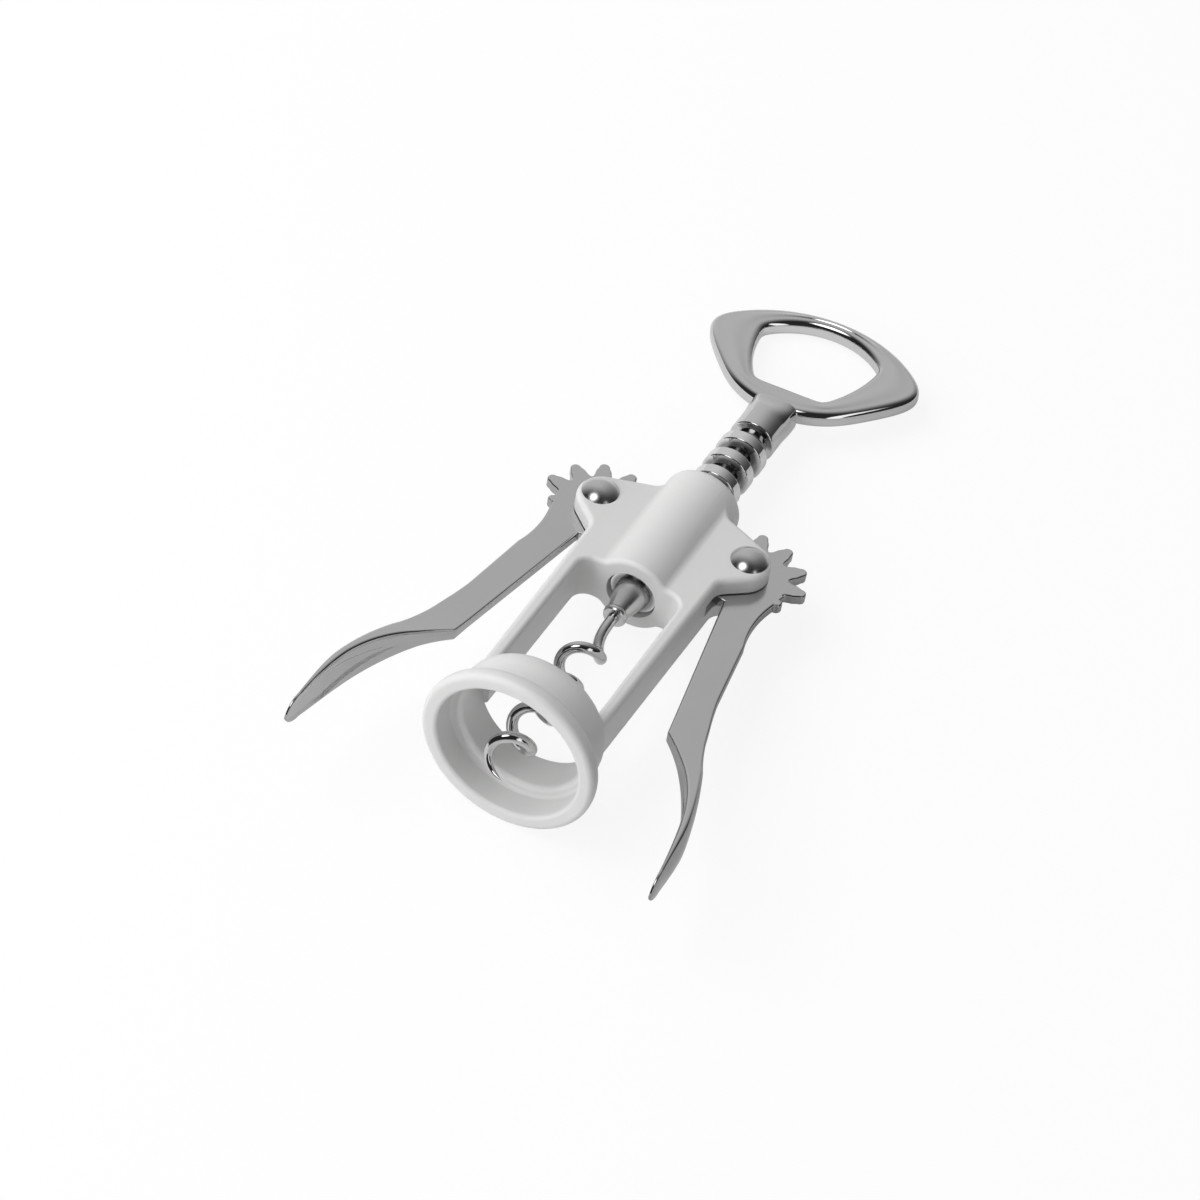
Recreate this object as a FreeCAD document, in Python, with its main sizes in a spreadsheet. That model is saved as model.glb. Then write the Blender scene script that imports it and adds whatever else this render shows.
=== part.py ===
import FreeCAD, Part
import math
import os
import re
import Sketcher
from FreeCAD import Rotation, Vector

# Wing corkscrew, lying on its back: +X is the right lever's side, +Y runs along the worm's axis from
# the bell to the opener, and +Z is the side of the rivets' domed heads. The origin is the centre of
# the bell's mouth. The levers are almost down, so the worm's point is near the mouth.

document = FreeCAD.newDocument("wing_corkscrew")
sheet = document.addObject("Spreadsheet::Sheet", "sizes")

SIZES = [
    # bell
    ("mouth_radius", 15.5, "bore that takes the bottle's lip"),
    ("mouth_depth", 6.2, "depth of that bore"),
    ("flange_radius", "=mouth_radius + 3.4", "outside of the flange round the mouth"),
    ("flange_height", 5.0, "height of the flange"),
    ("tier_radius", "=throat_radius + 2.5", "outside of the bell above the flange"),
    ("tier_height", 9.7, "where the bell starts to close in"),
    ("throat_radius", "=mouth_radius - 2.3", "bore above the mouth's ledge"),
    ("bell_height", 14.4, "top of the bell"),
    ("dome_radius", 5.6, "rounding of the bell's shoulder"),
    # posts, ears and hub
    ("plate_half", 5.48, "half the thickness of posts and ears"),
    ("window_half", "=post_foot - 2.7", "half the width between the posts"),
    ("post_foot", "=tier_radius - 1.7", "outer face of a post at its foot"),
    ("post_head", "=post_foot + 0.7", "outer face of a post under its ear"),
    ("post_bottom", 9.6, "where the posts start inside the bell's wall"),
    ("ear_across", "=pivot_across - 1.17", "centre of an ear's round end, from the axis"),
    ("ear_along", "=pivot_along - 0.33", "centre of an ear's round end, from the mouth"),
    ("ear_radius", "=rivet_head_radius + 1.85", "round end of an ear"),
    ("ear_under_angle", 40.0, "slope of an ear's underside"),
    ("ear_upper_angle", 20.6, "slope of an ear's upper side"),
    ("hub_radius", "=ring_radius + slide_clearance + 3.07", "outside of the hub"),
    ("hub_bottom", 52.2, "lower face of the hub"),
    ("hub_top", 85.6, "upper face of the hub"),
    ("corner_round", 3.2, "inner corners of the window"),
    ("crotch_round", 3.5, "corner between post and ear"),
    ("hub_blend", 2.2, "blend between hub and ears"),
    ("edge_round", 1.2, "outer edges of posts and ears"),
    ("window_round", 1.0, "edges of the window"),
    ("hub_round", 2.0, "upper edge of the hub"),
    ("rim_round", 1.2, "outer edge of the mouth"),
    ("mouth_round", 0.8, "inner edge of the mouth"),
    ("ledge_round", 1.2, "ledge between mouth and throat"),
    ("bell_valley_round", 1.6, "hollow between flange and bell"),
    ("flange_belt", 1.4, "height of the straight part of the flange's outside"),
    ("flange_curve", 3.63, "radius of its rounded part"),
    # pivots
    ("pivot_across", "=ring_root + gear_tip + 0.77", "pivot, from the axis, which leaves room between gear and rack"),
    ("pivot_along", 70.03, "pivot, from the mouth"),
    ("slot_width", 3.0, "slot that a lever turns in"),
    ("slot_clearance", 0.6, "room round the gear teeth"),
    ("shank_radius", 2.0, "rivet's shank"),
    ("press_clearance", 0.03, "room round pieces that don't turn"),
    ("turn_clearance", 0.06, "room round pieces that turn"),
    ("rivet_head_radius", 3.95, "rivet's domed head"),
    ("rivet_head_height", 1.7, "height of that dome"),
    ("rivet_tail_radius", 1.2, "reduced end of the shank, in the cap"),
    ("rivet_tail_length", 0.9, "length of that end"),
    ("cap_radius", 3.4, "cap on the rivet's end"),
    ("cap_height", 1.6, "height of that cap"),
    ("cap_round", 0.6, "edge of the cap"),
    # levers
    ("lever_thickness", 2.4, "thickness of gear and arm"),
    ("gear_count", 12, "teeth in a full turn of the gear"),
    ("gear_teeth", 7, "teeth that are there"),
    ("gear_first_angle", 9.1, "direction of the outermost tooth"),
    ("gear_tip", "=ring_pitch * gear_count / 2 / pi + 0.96", "tip radius"),
    ("gear_root", "=ring_pitch * gear_count / 2 / pi - 2.64", "root radius"),
    ("tooth_tip_half", 1.2, "half the width of a tooth's round tip"),
    ("tooth_foot_half", "=groove_mouth / 2", "half the width of a tooth's foot"),
    ("gap_round", 0.6, "corners between the teeth"),
    ("arm_splay", 10.3, "angle of the arm's inner edge to the axis"),
    ("arm_inset", 2.1, "that edge, from the pivot"),
    ("arm_length", 47.9, "length of that edge, down to the paddle"),
    ("neck_width", 7.5, "width of the arm near the gear"),
    ("neck_along", 18.2, "where that is, from the pivot"),
    ("stub_radius", 10.4, "reach of the stub beside the last tooth"),
    ("stub_angle", 20.5, "its direction, below the level of the pivot"),
    ("stub_round", 0.9, "its round end"),
    ("stub_curve", 24.0, "curve from the neck to the stub"),
    # paddles, measured from the inner corner of the arm
    ("sweep_along", 8.6, "where the arm's outer edge starts to sweep out, above that corner"),
    ("sweep_across", 5.2, "the same, across"),
    ("sweep_curve", 51.0, "radius of that sweep"),
    ("back_along", 6.5, "where it passes into the paddle's outer face"),
    ("back_across", 10.2, "the same, across"),
    ("back_curve", 78.0, "radius of the outer face"),
    ("paddle_length", 38.6, "length of the paddle"),
    ("paddle_reach", 16.4, "its tip, across"),
    ("tip_thickness", 0.5, "thickness of the tip"),
    ("belly_along", 20.5, "widest place of the paddle"),
    ("belly_across", 13.2, "its inner face there, across"),
    ("inner_curve", 40.0, "radius of the inner face above that place"),
    ("end_curve", 96.0, "radius of the inner face below it"),
    ("paddle_half", 4.3, "half the paddle's greatest width"),
    ("flare_along", 5.5, "where its widening passes from hollow to round"),
    ("flare_half", 2.2, "half its width there"),
    ("flare_curve", 18.0, "radius of the hollow part"),
    ("side_curve", 60.0, "radius of its sides"),
    ("shoulder_along", 34.0, "where the round end starts"),
    ("shoulder_half", 2.9, "half the width there"),
    ("end_round", 4.6, "radius of that end"),
    ("tip_half", 0.4, "half the width left at the tip"),
    # rack and opener
    ("ring_radius", 5.45, "outside of the rack's rings"),
    ("ring_root", "=ring_radius - 1.85", "bottom of its grooves"),
    ("ring_pitch", 6.2, "from ring to ring"),
    ("groove_mouth", 3.5, "width of a groove at the outside"),
    ("groove_floor", 2.3, "width of a groove at its bottom"),
    ("groove_count", 8, "grooves"),
    ("ring_round", 0.3, "edges of the rings"),
    ("rack_bottom", "=hub_bottom + 1.0", "lower end of the rack"),
    ("slide_clearance", 0.08, "room round the rack in the hub"),
    ("spindle_radius", 2.6, "spindle inside the rack"),
    ("end_clearance", 0.1, "play of the rack on the spindle"),
    ("collar_radius", "=ring_radius - 0.3", "collar under the opener"),
    ("collar_bottom", 107.1, "lower face of the collar"),
    ("collar_top", 118.8, "upper face of the collar"),
    ("collar_round", 0.4, "edges of the collar"),
    ("head_half", 2.2, "half the thickness of the opener"),
    ("head_bottom", 118.0, "lowest point of the opener's outline"),
    ("head_top", 151.4, "highest point of the outline"),
    ("head_width", 24.2, "half the width of the outline"),
    ("head_tip_along", 138.4, "where the outline is widest"),
    ("head_lower_radius", 21.3, "curve of the outline's lower half"),
    ("head_flank_across", 17.4, "where that curve gives way to the flanks"),
    ("head_tip_round", 2.4, "rounding of the two tips"),
    ("head_edge_round", 1.5, "edges of the opener"),
    ("head_turn", 4.4, "how far the opener is turned round the axis, right side up"),
    ("opening_bottom", 125.0, "straight edge that lifts the cap"),
    ("opening_half_bottom", 8.25, "half its width"),
    ("opening_half_top", 14.6, "half the opening's greatest width, before its corners are rounded"),
    ("opening_shoulder", 141.5, "where that width lies"),
    ("opening_top", 147.9, "top of the opening"),
    ("opening_round", 4.0, "upper corners of the opening"),
    ("opening_corner", 1.6, "lower corners of the opening"),
    ("opening_edge_round", 0.7, "edges of the opening"),
    # worm
    ("ferrule_top_radius", 3.8, "wide end of the ferrule"),
    ("ferrule_end_radius", 2.25, "narrow end of its cone"),
    ("ferrule_bead_radius", 2.6, "bead at the narrow end"),
    ("ferrule_bottom", 44.6, "narrow end of the ferrule"),
    ("bead_height", 1.6, "height of the bead"),
    ("ferrule_band", 0.7, "straight band at the wide end"),
    ("wire_radius", 1.18, "wire of the worm"),
    ("coil_radius", 3.35, "middle of the wire, from the axis"),
    ("coil_pitch", 9.65, "from turn to turn"),
    ("coil_turns", 3.81, "turns below the place where the coil reaches its full radius"),
    ("coil_start_angle", 90.0, "direction of that place, from +Z to +X"),
    ("spread_turns", 0.35, "turns over which the coil opens to its full radius"),
    ("spread_height", 11.4, "height over which it opens, below the ferrule"),
    ("tip_turns", 0.5, "turns over which the wire runs to a point"),
    ("tip_radius", 0.12, "radius left at the point"),
    ("shank_depth", 20.0, "straight wire above the ferrule's narrow end"),
]

for row, (alias, value, note) in enumerate(SIZES, start=1):
    sheet.set(f"A{row}", alias)
    sheet.set(f"C{row}", note)
    sheet.setAlias(f"B{row}", alias)
for row, (alias, value, note) in enumerate(SIZES, start=1):
    sheet.set(f"B{row}", str(value))
document.recompute()

ALIASES = {alias for alias, value, note in SIZES}


def in_sheet(expression):
    """Put the sheet's name before each of its aliases in an expression."""

    def with_sheet(word):
        return "sizes." + word[0] if word[0] in ALIASES else word[0]

    return re.sub(r"[a-z]\w*", with_sheet, expression)


def size(expression):
    """The value of an expression of sizes."""
    return float(sheet.evalExpression(in_sheet(expression)))


def bind(thing, setting, expression):
    """Tie a setting of an object to the sheet."""
    thing.setExpression(setting, in_sheet(expression))


def new_body(name):
    body = document.addObject("PartDesign::Body", name + "_body")
    body.Label = name
    return body


def draw(body, name, corners, plane="XY_Plane"):
    """A closed outline on a plane of the body. A corner is (across, along), in expressions, and may have
    a third value, the radius of an arc to the next corner, below zero when the arc turns clockwise."""
    sketch = body.newObject("Sketcher::SketchObject", name)
    support = next(item for item in body.Origin.OriginFeatures if item.Role == plane)
    sketch.AttachmentSupport = [(support, "")]
    sketch.MapMode = "FlatFace"
    points = [Vector(size(corner[0]), size(corner[1]), 0) for corner in corners]
    ends = []
    for number, corner in enumerate(corners):
        start = points[number]
        stop = points[(number + 1) % len(points)]
        if len(corner) == 2:
            line = sketch.addGeometry(Part.LineSegment(start, stop))
            ends.append((line, 1, 2))
            continue
        radius = size(corner[2])
        chord = stop - start
        rise = abs(radius) - math.sqrt(radius ** 2 - chord.Length ** 2 / 4)
        side = Vector(chord.y, -chord.x, 0).normalize() * math.copysign(rise, radius)
        arc = sketch.addGeometry(Part.Arc(start, (start + stop) / 2 + side, stop))
        ends.append((arc, 1, 2) if radius > 0 else (arc, 2, 1))
    for number, corner in enumerate(corners):
        line, first, last = ends[number]
        following, following_first = ends[(number + 1) % len(ends)][:2]
        sketch.addConstraint(Sketcher.Constraint("Coincident", line, last, following, following_first))
        for kind, value in zip(("DistanceX", "DistanceY"), corner):
            index = sketch.addConstraint(Sketcher.Constraint(kind, line, first, size(value)))
            bind(sketch, f"Constraints[{index}]", value)
        if len(corner) == 3:
            index = sketch.addConstraint(Sketcher.Constraint("Radius", line, abs(size(corner[2]))))
            bind(sketch, f"Constraints[{index}]", f"abs({corner[2]})")
    return sketch


def pad(body, name, corners, thickness, kind="Pad", plane="XY_Plane"):
    """A flat piece or a flat cut, half of it on each side of the plane."""
    sketch = draw(body, name + "_outline", corners, plane)
    feature = body.newObject("PartDesign::" + kind, name)
    feature.Profile = sketch
    feature.Midplane = True
    bind(feature, "Length", thickness)
    document.recompute()
    return feature


def disc(body, name, centre, radius, depth, kind="Pad"):
    """A round piece or cut along Z, half of it on each side of the plane."""
    sketch = body.newObject("Sketcher::SketchObject", name + "_outline")
    support = next(item for item in body.Origin.OriginFeatures if item.Role == "XY_Plane")
    sketch.AttachmentSupport = [(support, "")]
    sketch.MapMode = "FlatFace"
    middle = Vector(size(centre[0]), size(centre[1]), 0)
    sketch.addGeometry(Part.Circle(middle, Vector(0, 0, 1), size(radius)))
    limits = [("Radius", (0,), radius), ("DistanceX", (0, 3), centre[0]), ("DistanceY", (0, 3), centre[1])]
    for limit, where, value in limits:
        index = sketch.addConstraint(Sketcher.Constraint(limit, *where, size(value)))
        bind(sketch, f"Constraints[{index}]", value)
    feature = body.newObject("PartDesign::" + kind, name)
    feature.Profile = sketch
    feature.Midplane = True
    bind(feature, "Length", depth)
    document.recompute()
    return feature


def turn(body, name, corners, kind="Revolution", plane="XY_Plane"):
    """A turned piece or cut, round the Y axis from the XY plane or round the Z axis from the XZ plane."""
    sketch = draw(body, name + "_outline", corners, plane)
    feature = body.newObject("PartDesign::" + kind, name)
    feature.Profile = sketch
    feature.ReferenceAxis = (sketch, ["V_Axis"])
    feature.Angle = 360
    document.recompute()
    return feature


def round_edges(body, name, radius, wanted):
    """Round those edges of the body that the test picks."""
    base = body.Tip
    names = [f"Edge{number}" for number, edge in enumerate(base.Shape.Edges, start=1) if wanted(edge)]
    fillet = body.newObject("PartDesign::Fillet", name)
    fillet.Base = (base, names)
    bind(fillet, "Radius", radius)
    document.recompute()
    return fillet


def near(value, wanted, slack=0.01):
    return abs(value - wanted) < slack


def is_upright(edge):
    """True for a straight edge along Z."""
    first, last = edge.Vertexes[0].Point, edge.Vertexes[-1].Point
    return near(first.x, last.x) and near(first.y, last.y) and edge.Length > 0.1


def corner_at(across, along):
    """A test for the straight edges along Z at this place, on either side of the axis."""

    def is_there(edge):
        place = edge.Vertexes[0]
        return is_upright(edge) and near(abs(place.X), size(across)) and near(place.Y, size(along))

    return is_there


def is_ring(edge, radius, along):
    """True for a circle round the Y axis, of this radius and at this height."""
    is_circle = edge.Curve.TypeId == "Part::GeomCircle"
    return is_circle and near(edge.Curve.Radius, radius) and near(edge.Curve.Center.y, along)


def ear_point(angle, side):
    """A point of the ear's round end where a straight side of this slope starts; side is 1 for the
    upper side and -1 for the underside."""
    return (f"ear_across + ear_radius * sin({angle})", f"ear_along + {side} * ear_radius * cos({angle})")


def mirrored(corners):
    """The same outline points on the other side of the axis, in the opposite order. An arc's radius
    belongs to the corner before it, so it moves to the other end of its arc."""
    flipped = [(f"-({corner[0]})", corner[1]) for corner in corners]
    for number, corner in enumerate(corners[:-1]):
        if len(corner) == 3:
            flipped[number + 1] += (corner[2],)
    return flipped[::-1]


def block(radius, bottom, top):
    """Half the section of a plain cylinder on the Y axis."""
    return [("0", bottom), (radius, bottom), (radius, top), ("0", top)]


def make_frame():
    """Bell, posts, slotted ears and hub, moulded in one piece."""
    body = new_body("frame")

    # posts and ears, as one plate with the window cut out of it
    under, upper = ear_point("ear_under_angle", -1), ear_point("ear_upper_angle", 1)
    crotch = f"{under[1]} - ({under[0]} - post_head) * tan(ear_under_angle)"
    summit = f"{upper[1]} + ({upper[0]}) * tan(ear_upper_angle)"
    half = [
        ("window_half", "post_bottom"),
        ("post_foot", "post_bottom"),
        ("post_head", crotch),
        under + ("ear_radius",),
        upper,
    ]
    other_half = mirrored(half)
    window = [("-window_half", "hub_bottom"), ("window_half", "hub_bottom")]
    pad(body, "plate", half + [("0", summit)] + other_half + window, "2 * plate_half")

    round_edges(body, "window_corners", "corner_round", corner_at("window_half", "hub_bottom"))
    round_edges(body, "crotches", "crotch_round", corner_at("post_head", crotch))

    # hub
    turn(body, "hub", block("hub_radius", "hub_bottom", "hub_top"))

    def is_hub_corner(edge):
        on_hub = all(near(math.hypot(corner.X, corner.Z), size("hub_radius")) for corner in edge.Vertexes)
        level = near(edge.Vertexes[0].Y, edge.Vertexes[-1].Y)
        return on_hub and (not level or edge.Curve.TypeId == "Part::GeomEllipse")

    def is_face_edge(edge):
        in_face = all(near(abs(corner.Z), size("plate_half")) for corner in edge.Vertexes)
        foot = all(near(corner.Y, size("post_bottom")) for corner in edge.Vertexes)
        return in_face and not is_upright(edge) and not foot

    def is_in_window(edge):
        low = all(corner.Y < size("hub_bottom") + 0.1 for corner in edge.Vertexes)
        return low and all(abs(corner.X) < size("window_half") + 0.01 for corner in edge.Vertexes)

    def is_window_edge(edge):
        return is_face_edge(edge) and is_in_window(edge)

    def is_outer_edge(edge):
        return is_face_edge(edge) and not is_in_window(edge)

    round_edges(body, "hub_blends", "hub_blend", is_hub_corner)
    round_edges(body, "outer_edges", "edge_round", is_outer_edge)
    round_edges(body, "window_edges", "window_round", is_window_edge)
    round_edges(body, "hub_edge", "hub_round", lambda edge: is_ring(edge, size("hub_radius"), size("hub_top")))

    # bell
    bell = [
        ("mouth_radius", "0"),
        ("flange_radius", "0"),
        ("flange_radius", "flange_belt", "flange_curve"),
        ("tier_radius", "flange_height"),
        ("tier_radius", "tier_height", "dome_radius"),
        ("throat_radius", "bell_height"),
        ("throat_radius", "mouth_depth"),
        ("mouth_radius", "mouth_depth"),
    ]
    turn(body, "bell", bell)
    bell_roundings = [
        ("valley", "tier_radius", "flange_height", "bell_valley_round"),
        ("rim_edge", "flange_radius", "0", "rim_round"),
        ("ledge_edge", "throat_radius", "mouth_depth", "ledge_round"),
        ("mouth_corner", "mouth_radius", "mouth_depth", "mouth_round"),
        ("mouth_edge", "mouth_radius", "0", "mouth_round"),
    ]
    for name, radius, along, rounding in bell_roundings:
        round_edges(body, name, rounding, lambda edge: is_ring(edge, size(radius), size(along)))

    # bores, slots for the levers and holes for the rivets
    turn(body, "throat", block("throat_radius", "mouth_depth", "bell_height"), "Groove")
    turn(body, "bore", block("ring_radius + slide_clearance", "hub_bottom", "hub_top"), "Groove")
    for side, name in ((1, "right"), (-1, "left")):
        pivot = (f"{side} * pivot_across", "pivot_along")
        disc(body, "slot_" + name, pivot, "gear_tip + slot_clearance", "slot_width", "Pocket")
        disc(body, "rivet_hole_" + name, pivot, "shank_radius + press_clearance", "4 * plate_half", "Pocket")
    return body


def polar(radius, across, angle):
    """A point at this radius in this direction, moved sideways by across."""
    return (
        f"({radius}) * cos({angle}) - ({across}) * sin({angle})",
        f"({radius}) * sin({angle}) + ({across}) * cos({angle})",
    )


def make_lever():
    """Gear, arm and paddle of the right lever, in one piece, with the pivot at the origin."""
    body = new_body("lever_right")

    # side view of arm and paddle: down the inner side, round the tip and up the outer side
    corner_x = "(arm_length * sin(arm_splay) - arm_inset * cos(arm_splay))"
    corner_y = "(-arm_length * cos(arm_splay) - arm_inset * sin(arm_splay))"

    def below(across, along):
        return (f"{corner_x} + {across}", f"{corner_y} - ({along})")

    lobe_angle = "-stub_angle"
    side_view = [
        ("-arm_inset * cos(arm_splay)", "-arm_inset * sin(arm_splay)"),
        below("0", "0") + ("-inner_curve",),
        below("belly_across", "belly_along") + ("-end_curve",),
        below("paddle_reach - tip_thickness", "paddle_length"),
        below("paddle_reach", "paddle_length") + ("back_curve",),
        below("back_across", "back_along") + ("-sweep_curve",),
        below("sweep_across", "-sweep_along"),
        ("neck_width - arm_inset + neck_along * tan(arm_splay)", "-neck_along") + ("-stub_curve",),
        polar("stub_radius - stub_round", "-stub_round", lobe_angle) + ("stub_round",),
        polar("stub_radius", "0", lobe_angle) + ("stub_round",),
        polar("stub_radius - stub_round", "stub_round", lobe_angle),
        polar("gear_root / 2", "stub_round", lobe_angle),
    ]
    pad(body, "side", side_view, "2 * paddle_half")

    # front view: what is cut away beside the arm and beside the paddle
    for side, name in ((1, "front"), (-1, "back")):

        def at(along, across):
            return (f"{corner_y} - ({along})", f"{side} * ({across})")

        front_view = [
            ("gear_tip", f"{side} * lever_thickness / 2"),
            at("-2", "lever_thickness / 2") + (f"{-side} * flare_curve",),
            at("flare_along", "flare_half") + (f"{side} * side_curve",),
            at("belly_along", "paddle_half") + (f"{side} * side_curve",),
            at("shoulder_along", "shoulder_half") + (f"{side} * end_round",),
            at("paddle_length", "tip_half"),
            at("paddle_length + 2", "tip_half"),
            at("paddle_length + 2", "2 * paddle_half"),
            ("gear_tip", f"{side} * 2 * paddle_half"),
        ]
        pad(body, "cut_" + name, front_view, "4 * (paddle_reach + arm_length)", "Pocket", "YZ_Plane")

    # gear
    disc(body, "gear", ("0", "0"), "gear_root", "lever_thickness")
    finger = "gear_tip - tooth_tip_half"
    tooth_outline = [
        polar("gear_root - 1", "-tooth_foot_half", "gear_first_angle"),
        polar(finger, "-tooth_tip_half", "gear_first_angle") + ("tooth_tip_half",),
        polar("gear_tip", "0", "gear_first_angle") + ("tooth_tip_half",),
        polar(finger, "tooth_tip_half", "gear_first_angle"),
        polar("gear_root - 1", "tooth_foot_half", "gear_first_angle"),
    ]
    tooth = pad(body, "tooth", tooth_outline, "lever_thickness")
    teeth = body.newObject("PartDesign::PolarPattern", "teeth")
    teeth.Originals = [tooth]
    teeth.Axis = (tooth.Profile[0], ["N_Axis"])
    bind(teeth, "Occurrences", "gear_teeth")
    bind(teeth, "Angle", "360 * (gear_teeth - 1) / gear_count")
    body.Tip = teeth
    document.recompute()
    disc(body, "pivot_hole", ("0", "0"), "shank_radius + turn_clearance", "2 * lever_thickness", "Pocket")

    # corners between the teeth
    def is_gap_corner(edge):
        at_root = near(math.hypot(edge.Vertexes[0].X, edge.Vertexes[0].Y), size("gear_root"))
        return is_upright(edge) and at_root and edge.Vertexes[0].Y > -size("gear_root") * math.sin(0.2)

    round_edges(body, "gaps", "gap_round", is_gap_corner)
    bind(body, "Placement.Base.x", "pivot_across")
    bind(body, "Placement.Base.y", "pivot_along")
    return body


def make_left_lever(right_lever):
    """The left lever is the right one's mirror image."""
    lever = document.addObject("Part::Mirroring", "lever_left_mirror")
    lever.Label = "lever_left"
    lever.Source = right_lever
    lever.Base = Vector(0, 0, 0)
    lever.Normal = Vector(1, 0, 0)
    return lever


def make_rivet(name, side):
    """Pivot pin with a domed head in front and a thinner end for the cap at the back."""
    body = new_body(name)
    dome_curve = "(rivet_head_radius ^ 2 + rivet_head_height ^ 2) / (2 * rivet_head_height)"
    outline = [
        ("0", "-plate_half - rivet_tail_length"),
        ("rivet_tail_radius", "-plate_half - rivet_tail_length"),
        ("rivet_tail_radius", "-plate_half"),
        ("shank_radius", "-plate_half"),
        ("shank_radius", "plate_half"),
        ("rivet_head_radius", "plate_half", dome_curve),
        ("0", "plate_half + rivet_head_height"),
    ]
    turn(body, name + "_pin", outline, plane="XZ_Plane")
    place_at_pivot(body, side)
    return body


def make_cap(name, side):
    """Cap pressed on the thinner end of a rivet."""
    body = new_body(name)
    hole = "rivet_tail_radius + press_clearance"
    outline = [
        ("0", "-plate_half - cap_height"),
        ("cap_radius", "-plate_half - cap_height"),
        ("cap_radius", "-plate_half"),
        (hole, "-plate_half"),
        (hole, "-plate_half - rivet_tail_length"),
        ("0", "-plate_half - rivet_tail_length"),
    ]
    turn(body, name + "_disc", outline, plane="XZ_Plane")

    def is_cap_edge(edge):
        lowest = near(edge.BoundBox.ZMax, -size("plate_half + cap_height"))
        return lowest and near(edge.BoundBox.XMax, size("cap_radius"))

    round_edges(body, name + "_edge", "cap_round", is_cap_edge)
    place_at_pivot(body, side)
    return body


def place_at_pivot(body, side):
    bind(body, "Placement.Base.x", f"{side} * pivot_across")
    bind(body, "Placement.Base.y", "pivot_along")


TOP_GROOVE = "(collar_bottom - groove_mouth / 2)"
RACK_TOP = "(collar_bottom - end_clearance)"
SPINDLE_BOTTOM = "(rack_bottom - end_clearance)"
SHANK_TOP = "(ferrule_bottom + shank_depth)"


def make_rack():
    """Sleeve with rings and grooves, driven by the gears and free to turn on the spindle."""
    body = new_body("rack_sleeve")
    bore = "spindle_radius + turn_clearance"
    outline = [
        (bore, "rack_bottom"),
        ("ring_radius", "rack_bottom"),
        ("ring_radius", TOP_GROOVE + " - groove_mouth / 2"),
        ("ring_root", TOP_GROOVE + " - groove_floor / 2"),
        ("ring_root", RACK_TOP),
        (bore, RACK_TOP),
    ]
    turn(body, "sleeve", outline)
    second = TOP_GROOVE + " - ring_pitch"
    groove_outline = [
        ("ring_root", f"{second} - groove_floor / 2"),
        ("ring_radius", f"{second} - groove_mouth / 2"),
        ("ring_radius + 1", f"{second} - groove_mouth / 2"),
        ("ring_radius + 1", f"{second} + groove_mouth / 2"),
        ("ring_radius", f"{second} + groove_mouth / 2"),
        ("ring_root", f"{second} + groove_floor / 2"),
    ]
    groove = turn(body, "groove", groove_outline, "Groove")
    grooves = body.newObject("PartDesign::LinearPattern", "grooves")
    grooves.Originals = [groove]
    grooves.Direction = (groove.Profile[0], ["V_Axis"])
    grooves.Reversed = True
    bind(grooves, "Occurrences", "groove_count - 1")
    bind(grooves, "Length", "(groove_count - 2) * ring_pitch")
    body.Tip = grooves
    document.recompute()

    def is_ring_edge(edge):
        return edge.Curve.TypeId == "Part::GeomCircle" and near(edge.Curve.Radius, size("ring_radius"))

    round_edges(body, "ring_edges", "ring_round", is_ring_edge)
    return body


def arc_over(half, rise):
    """Radius of an arc over a chord of twice this half, with this rise."""
    return f"(({half}) ^ 2 + ({rise}) ^ 2) / (2 * ({rise}))"


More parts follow.
